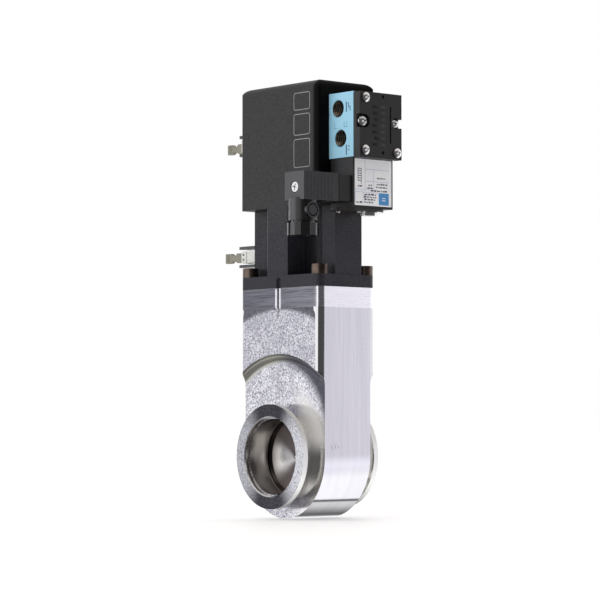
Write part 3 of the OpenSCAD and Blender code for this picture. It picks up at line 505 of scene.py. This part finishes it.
# Bevel width on a CAD node's edges, in mm, where it isn't the usual one
USUAL_EDGE = 0.25
EDGES = {
    "valve_body": 0.3, "actuator_housing": 0.35, "plug_housing": 0.0, "coil_label": 0.0,
    "armature_spring": 0.0, "tie_spring": 0.0, "bracket_stud": 0.0, "switch_plugs": 0.2,
    "pull_tabs": 0.3, "cover_screws": 0.1, "mounting_screws": 0.1, "plug_screw": 0.12,
    "plug_contacts": 0.1, "cap_ring": 0.1, "wave_washer": 0.08, "pilot_gasket": 0.1,
    "cover_gasket": 0.1, "stem_pin": 0.1,
}


def dress_nodes():
    """Gives every CAD node its material, and breaks its sharp edges."""
    for s in frame["record"]["subparts"]:
        o = frame["nodes"][s["node"]]
        for held in o.material_slots:
            held.material = MATERIALS[s["material_slot"]]
        width = EDGES.get(s["node"], USUAL_EDGE) * MM
        if width:
            flat = o.modifiers.new("flats", "DECIMATE")
            flat.decimate_type = "DISSOLVE"
            flat.angle_limit = math.radians(0.4)
            edge = o.modifiers.new("edges", "BEVEL")
            edge.width = width
            edge.segments = 2
            edge.limit_method = "ANGLE"
            edge.angle_limit = math.radians(32)
            edge.harden_normals = True


dress_nodes()

# ---- building pieces -----------------------------------------------------------------------


def piece(name, bm, material, body=ROOT, smooth=None):
    """A new object from bm. smooth is the angle, in degrees, that still shades as round."""
    mesh = bpy.data.meshes.new(name)
    bmesh.ops.recalc_face_normals(bm, faces=bm.faces)
    bm.to_mesh(mesh)
    bm.free()
    mesh.materials.append(material)
    o = bpy.data.objects.new(name, mesh)
    bpy.context.scene.collection.objects.link(o)
    if smooth is not None:
        mesh.shade_smooth()
        mesh.set_sharp_from_angle(angle=math.radians(smooth))
    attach(o, body)
    return o


def add_box(bm, low, high):
    size = high - low
    place = Matrix.Translation((high + low) / 2)
    bmesh.ops.create_cube(bm, size=1.0, matrix=place @ Matrix.Diagonal((*size, 1)))


def bars(name, boxes, material, soft=0.0):
    """One piece made of (low, high) boxes, with their edges rounded by soft."""
    bm = bmesh.new()
    for low, high in boxes:
        add_box(bm, low, high)
    if soft:
        bmesh.ops.bevel(bm, geom=list(bm.edges), offset=soft, segments=2, affect="EDGES",
                        profile=0.5)
    return piece(name, bm, material, smooth=40 if soft else None)


def bridge(bm, row, other):
    """Faces between two closed rows of the same number of vertices."""
    for i in range(len(row)):
        n = (i + 1) % len(row)
        bm.faces.new((row[i], row[n], other[n], other[i]))


def lathe(bm, profile, centre, axis, steps=64):
    """Turns a closed profile of (radius, distance along the axis) points about an axis."""
    turn = Vector((0, 0, 1)).rotation_difference(Vector(axis)).to_matrix()
    rows = []
    for r, h in profile:
        row = []
        for i in range(steps):
            a = 2 * math.pi * i / steps
            offset = turn @ Vector((r * math.cos(a), r * math.sin(a), h))
            row.append(bm.verts.new(Vector(centre) + offset))
        rows.append(row)
    for row, other in zip(rows, rows[1:] + rows[:1]):
        bridge(bm, row, other)


def centre_of(node):
    low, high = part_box(node)
    return (low + high) / 2


# ---- fine detail ---------------------------------------------------------------------------


def on_front(node, spans):
    """Boxes on a node's -Y face, from (x0, x1, z0, z1) spans in mm from its low corner."""
    low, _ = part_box(node)
    proud, sunk = 0.07 * MM, 0.05 * MM
    return [
        (Vector((low.x + x0 * MM, low.y - proud, low.z + z0 * MM)),
         Vector((low.x + x1 * MM, low.y + sunk, low.z + z1 * MM)))
        for x0, x1, z0, z1 in spans
    ]


def on_side(node, spans, proud=0.04 * MM, sunk=0.05 * MM):
    """The same on its +X face, from (y0, y1, z0, z1) spans."""
    low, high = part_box(node)
    return [
        (Vector((high.x - sunk, low.y + y0 * MM, low.z + z0 * MM)),
         Vector((high.x + proud, low.y + y1 * MM, low.z + z1 * MM)))
        for y0, y1, z0, z1 in spans
    ]


def outline(bm, x, z, corner, width, y_front, y_back):
    """A closed round-cornered frame that stands on a -Y face."""
    steps = 8
    loops = []
    for shrink in (0.0, width):
        r = max(corner - shrink, 0.05 * MM)
        points = []
        for i, (cx, cz) in enumerate(((x[1], z[1]), (x[0], z[1]), (x[0], z[0]), (x[1], z[0]))):
            sx, sz = (1 if cx == x[1] else -1), (1 if cz == z[1] else -1)
            for k in range(steps + 1):
                a = math.pi / 2 * (i + k / steps)
                points.append((cx - sx * (shrink + r) + r * math.cos(a),
                               cz - sz * (shrink + r) + r * math.sin(a)))
        loops.append(points)
    rows = [[bm.verts.new((px, y, pz)) for px, pz in loop]
            for loop in loops for y in (y_front, y_back)]
    for a, b in ((0, 1), (1, 3), (3, 2), (2, 0)):
        bridge(bm, rows[a], rows[b])


def head_mark():
    """A plain outline mark: three round-cornered frames, in mm from the head's middle and top."""
    low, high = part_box("actuator_housing")
    middle = (low.x + high.x) / 2
    face = low.y + 0.5 * MM  # the head's face lies 0.5 mm behind the foot's
    half_depth = 0.04 * MM
    across = [middle + v * MM for v in (11.8, 24.8)]
    bm = bmesh.new()
    for heights in ((-15.4, -6.2), (-28.6, -17.4), (-45.6, -30.6)):
        outline(bm, across, [high.z + v * MM for v in heights], corner=1.4 * MM,
                width=0.3 * MM, y_front=face - half_depth, y_back=face + half_depth)
    piece("head_mark", bm, PRINT["engraving"])


def port_threads():
    """Threaded sleeves in the two air ports, with a dark floor."""
    sleeve, mouth, root, crest, floor_hole = (v * MM for v in (4.38, 4.34, 4.32, 3.86, 2.25))
    last_turn, floor_depth = 6.9 * MM, 0.2 * MM
    ports = [m for m in frame["record"]["mounts"] if m["name"].startswith("air_port")]
    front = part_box("pilot_body")[0].y
    for i, port in enumerate(ports):
        at = THREAD_START
        profile = [(sleeve, at), (mouth, at)]
        while at < last_turn:
            profile += [(crest, at + THREAD_PITCH * share) for share in CREST]
            at += THREAD_PITCH
            profile.append((root, at))
        profile += [(floor_hole, at), (floor_hole, at + floor_depth), (sleeve, at + floor_depth)]
        bm = bmesh.new()
        lathe(bm, profile, (port["pos_m"][0], front, port["pos_m"][2]), (0, 1, 0), 56)
        piece("port_thread_%d" % i, bm, PRINT["thread"], smooth=25)


def block_marks():
    """Small plain bars beside the ports."""
    dark = [(13.2, 13.9, 23.4, 28.6), (15.0, 15.5, 25.4, 28.2), (16.2, 16.7, 23.8, 26.4),
            (13.2, 13.9, 1.2, 6.4), (15.0, 15.9, 5.2, 5.8), (15.0, 15.9, 3.4, 4.0)]
    bars("block_marks", on_front("pilot_body", dark), PRINT["deep_blue"])
    faint = [(4.2, 4.5, 15.2, 18.4), (4.2, 6.4, 15.2, 15.5), (11.6, 11.9, 15.6, 18.6),
             (13.8, 14.1, 15.6, 18.6), (11.6, 14.1, 15.6, 15.9)]
    bars("block_lines", on_front("pilot_body", faint), PRINT["block_line"])


def cover_detail():
    """Seven plain moulded ribs on the black cover, every third one shorter."""
    first, pitch, height, proud = 6.4, 3.25, 1.5, 0.22 * MM
    spans = []
    for i in range(7):
        z0 = first + pitch * i
        spans.append((10.4 if i % 3 == 1 else 9.2, 17.2, z0, z0 + height))
    bars("cover_ribs", on_side("pilot_cover", spans, proud), MATERIALS["black_plastic"],
         soft=0.1 * MM)


def label_print():
    """A generic label: thin blue rules, rows of dark dashes and a blue square."""
    low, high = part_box("coil_label")
    w, h = (high.y - low.y) / MM, (high.z - low.z) / MM
    t = 0.16  # a rule's width
    rules = [(7.0, 7.0 + t, 8.4, h - 0.6), (7.0, w - 1.8, 18.8, 18.8 + t),
             (13.0, 13.0 + t, 8.4, 18.8), (0.5, 15.5, 8.2, 8.2 + t), (0.5, 16.0, 7.0 - t, 7.0),
             (5.6, 5.6 + t, 0.6, 7.0 - t), (0.5, 0.5 + t, 0.6, 8.2),
             (7.0, w - 1.8, 12.6, 12.6 + t)]
    bars("label_rules", on_side("coil_label", rules), PRINT["blue_line"])
    chance = random.Random(7)
    dashes = []
    rows = [(9.4, 12.6, 10.3), (15.2, w - 3.0, 11.0), (14.6, w - 3.0, 9.5), (8.6, 12.4, 8.8),
            (11.0, w - 2.8, 7.5), (6.6, 14.6, 5.4), (6.2, 14.8, 4.1), (6.6, 14.2, 2.8),
            (6.6, 12.6, 1.4), (0.9, 5.0, 1.2), (15.4, w - 4.0, 14.2), (2.0, 5.0, 9.6)]
    for y0, y1, z in rows:
        at = y0
        while at < y1 - 0.5:
            run = min(chance.uniform(0.6, 2.2), y1 - at)
            dashes.append((at, at + run, z, z + chance.uniform(0.55, 0.95)))
            at += run + chance.uniform(0.35, 0.7)
    # a small ladder
    rung, ladder_top, rung_gap = 12.6, 20.0, 1.25
    while rung < ladder_top:
        dashes.append((2.2, 4.4, rung, rung + 0.4))
        rung += rung_gap
    dashes += [(2.0, 2.3, 12.6, 19.3), (4.3, 4.6, 11.2, 19.3)]
    bars("label_dashes", on_side("coil_label", dashes), PRINT["dark_print"])
    square = [(16.6, w - 1.9, 0.7, 6.9)]
    bars("label_square", on_side("coil_label", square), PRINT["blue_square"])
    inner = [(18.9, 21.3, 2.9, 3.3), (18.9, 21.3, 4.1, 4.5)]
    bars("label_square_lines", on_side("coil_label", inner, 0.07 * MM), MATERIALS["label"])


def connector_ribs():
    """Fine upright ribs moulded on the connector's side."""
    low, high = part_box("plug_housing")
    h = (high.z - low.z) / MM
    body_height, first, pitch, width = 14.5, 4.2, 2.3, 1.4
    spans = [(first + pitch * i, first + pitch * i + width, h - body_height + 1.0, h - 1.2)
             for i in range(8)]
    bars("connector_ribs", on_side("plug_housing", spans, 0.06 * MM, 0.1 * MM),
         MATERIALS["connector_plastic"])


def knockout_disc():
    """The round blanking disc on the neck's side, with a shallow ring in it."""
    mid = centre_of("gland_nut")
    neck_side = mid.x + 7.4 * MM
    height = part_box("plug_housing")[0].z + 9.2 * MM
    profile = [(0.01, -0.6), (4.25, -0.6), (4.25, 0.32), (4.05, 0.45), (3.3, 0.45), (3.2, 0.2),
               (2.8, 0.2), (2.7, 0.45), (0.01, 0.45)]
    bm = bmesh.new()
    lathe(bm, [(r * MM, h * MM) for r, h in profile], (neck_side, mid.y, height), (1, 0, 0))
    piece("knockout_disc", bm, MATERIALS["connector_plastic"], smooth=30)


def return_spring():
    """The armature's spring, wound as a wire coil in place of the CAD node's."""
    low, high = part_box("armature_spring")
    mid = (low + high) / 2
    wire, turns, around, sides = 0.25 * MM, 6, 32, 10
    r = (high.x - low.x) / 2 - wire
    climb = (high.z - low.z - 2 * wire) / (turns * around)
    bm = bmesh.new()
    rows = []
    for i in range(turns * around + 1):
        a = 2 * math.pi * i / around
        row = []
        for k in range(sides):
            b = 2 * math.pi * k / sides
            out = r + wire * math.cos(b)
            height = low.z + wire + climb * i + wire * math.sin(b)
            row.append(bm.verts.new((mid.x + out * math.cos(a), mid.y + out * math.sin(a), height)))
        rows.append(row)
    for lower, upper in zip(rows, rows[1:]):
        bridge(bm, lower, upper)
    bm.faces.new(rows[0])
    bm.faces.new(rows[-1])
    o = piece("return_spring", bm, MATERIALS["stainless"], smooth=50)
    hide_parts("armature_spring")
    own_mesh(o)


def switch_detail():
    """Windows and a joint line on the switch plugs, grip ridges on their pull tabs."""
    low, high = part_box("switch_plugs")
    half_plug = 3.2 * MM

    def mark(middle, x0, x1, z0, z1):
        return (Vector((low.x + x0 * MM, low.y - 0.05 * MM, middle + z0 * MM)),
                Vector((low.x + x1 * MM, low.y + 0.1 * MM, middle + z1 * MM)))

    marks = []
    for middle in (low.z + half_plug, high.z - half_plug):
        marks += [mark(middle, 1.0, 2.5, -1.7, -0.8), mark(middle, 1.0, 2.5, 0.9, 1.8),
                  mark(middle, 4.3, 4.6, -3.0, 3.0)]
    bars("switch_windows", marks, PRINT["dark_print"])

    centre = centre_of("pull_tabs")
    corners = [v.co for v in frame["nodes"]["pull_tabs"].data.vertices]
    first, pitch, width, margin, half_depth = (v * MM for v in (0.7, 1.1, 0.55, 0.45, 1.38))
    ridges = []
    for upper in (False, True):
        tab = [c for c in corners if (c.z > centre.z) == upper]
        end = min(c.x for c in tab)
        z0, z1 = min(c.z for c in tab) + margin, max(c.z for c in tab) - margin
        for k in range(3):
            x0 = end + first + pitch * k
            ridges.append((Vector((x0, centre.y - half_depth, z0)),
                           Vector((x0 + width, centre.y + half_depth, z1))))
    bars("tab_ridges", ridges, MATERIALS["tan_plastic"], soft=0.12 * MM)


head_mark()
port_threads()
block_marks()
cover_detail()
label_print()
connector_ribs()
knockout_disc()
return_spring()
switch_detail()

# ---- studio --------------------------------------------------------------------------------

# The painted world's tones by azimuth, as shares of a turn: 0 is +X, 0.25 is +Y, 0.5 is -X
# and 0.75 is -Y. One band at the part's level, one above it and one below it.
LEVEL_BAND = [
    (0.0, (0.09, 0.09, 0.095)), (0.09, (0.10, 0.10, 0.105)), (0.115, (1.12, 1.10, 1.17)),
    (0.20, (1.18, 1.17, 1.23)), (0.26, (1.15, 1.15, 1.15)), (0.55, (1.15, 1.15, 1.15)),
    (0.565, (0.30, 0.30, 0.32)), (0.598, (0.42, 0.42, 0.45)), (0.635, (1.25, 1.25, 1.29)),
    (0.82, (1.35, 1.35, 1.35)), (0.833, (0.09, 0.09, 0.095)),
]
HIGH_BAND = [
    (0.0, (0.09, 0.085, 0.085)), (0.09, (0.10, 0.095, 0.095)), (0.13, (0.72, 0.70, 0.76)),
    (0.26, (1.0, 1.0, 1.01)), (0.50, (1.0, 1.0, 1.01)), (0.57, (0.36, 0.34, 0.33)),
    (0.80, (0.46, 0.43, 0.41)), (0.83, (0.09, 0.085, 0.085)),
]
LOW_BAND = [
    (0.0, (0.10, 0.10, 0.10)), (0.10, (0.12, 0.12, 0.12)), (0.118, (0.95, 0.94, 1.0)),
    (0.135, (1.25, 1.25, 1.25)), (0.242, (1.2, 1.2, 1.2)), (0.249, (0.10, 0.10, 0.10)),
    (0.260, (0.10, 0.10, 0.10)), (0.270, (0.85, 0.85, 0.83)), (0.305, (0.72, 0.72, 0.70)),
    (0.365, (0.14, 0.14, 0.14)), (0.43, (0.6, 0.59, 0.58)), (0.52, (0.9, 0.89, 0.88)),
    (0.58, (0.30, 0.28, 0.27)), (0.81, (0.34, 0.32, 0.31)), (0.83, (0.10, 0.10, 0.10)),
]
ZENITH = (0.82, 0.79, 0.76)
WHITE = (1, 1, 1)


def color_band(t, azimuth, wanted):
    n = t.node("ShaderNodeValToRGB")
    t.feed(n.inputs[0], azimuth)
    stops = n.color_ramp.elements
    while len(stops) < len(wanted):
        stops.new(0.5)
    for stop, (at, color) in zip(stops, wanted):
        stop.position = at
        stop.color = (*color, 1)
    return n.outputs[0]


def studio():
    """White behind the part, a grey gap and a bright bank on its left, dark behind the camera.
    The camera itself sees plain white."""
    world = bpy.data.worlds.new("studio")
    bpy.context.scene.world = world
    world.use_nodes = True
    t = Nodes(world.node_tree)
    x, y, z = t.split(t.node("ShaderNodeTexCoord").outputs["Generated"])
    azimuth = t.math("FRACT", t.math("DIVIDE", t.math("ARCTAN2", y, x), 2 * math.pi))
    level, high, low = (color_band(t, azimuth, b) for b in (LEVEL_BAND, HIGH_BAND, LOW_BAND))
    light = t.mix(t.ramp(z, -0.2, -0.42), level, low)
    light = t.mix(t.ramp(z, 0.28, 0.55), light, high)
    light = t.mix(t.ramp(z, 0.45, 0.8, smooth=False), light, ZENITH)
    seen = t.node("ShaderNodeLightPath").outputs["Is Camera Ray"]
    back = world.node_tree.nodes["Background"]
    t.feed(back.inputs["Color"], t.mix(seen, light, WHITE))
    t.feed(back.inputs["Strength"], 1.0)


def add_light(name, place, aim, size, power):
    data = bpy.data.lights.new(name, "AREA")
    data.shape = "RECTANGLE"
    data.size, data.size_y = size
    data.energy = power
    o = bpy.data.objects.new(name, data)
    o.location = place
    o.rotation_euler = (Vector(aim) - Vector(place)).to_track_quat("-Z", "Y").to_euler()
    bpy.context.scene.collection.objects.link(o)


def floor():
    """A wide pale disc just under the part, unseen in its reflections."""
    low, _ = CAD_BOX
    reach, steps, gap = 6.0, 48, 0.4 * MM
    bm = bmesh.new()
    for i in range(steps):
        a = 2 * math.pi * i / steps
        bm.verts.new((reach * math.cos(a), reach * math.sin(a), low.z - gap))
    bm.faces.new(bm.verts)
    mesh = bpy.data.meshes.new("floor")
    bm.to_mesh(mesh)
    bm.free()
    g = Graph("floor", (0.90, 0.90, 0.905), 0.6)
    g.set("Emission Color", (1, 1, 1, 1))
    g.set("Emission Strength", 0.36)
    cloud = g.noise(3.0, 2.0, 0.5)
    g.plug("Base Color", g.mix(cloud, (0.89, 0.89, 0.895), (0.92, 0.92, 0.925)))
    mesh.materials.append(g.mat)
    o = bpy.data.objects.new("floor", mesh)
    bpy.context.scene.collection.objects.link(o)
    o.visible_glossy = False


def camera():
    """The photograph's angle, from a camera fitted to its edges."""
    data = bpy.data.cameras.new("camera")
    data.lens = 147.3
    data.sensor_width = 36
    data.clip_start, data.clip_end = 0.05, 50
    o = bpy.data.objects.new("camera", data)
    place, aim = Vector((0.9927, -0.8223, 0.0228)), Vector((-0.0025, 0.0231, 0.0830))
    o.location = place
    o.rotation_euler = (aim - place).to_track_quat("-Z", "Y").to_euler()
    bpy.context.scene.collection.objects.link(o)
    bpy.context.scene.camera = o


studio()
floor()
camera()
add_light("left_bank", (-0.9, -0.9, 0.45), (0, 0.02, 0.08), size=(0.9, 1.2), power=1.0)
add_light("front_fill", (0.75, -1.2, 0.5), (0, 0.02, 0.1), size=(0.3, 0.5), power=0.3)
bpy.context.scene.view_settings.view_transform = "Standard"
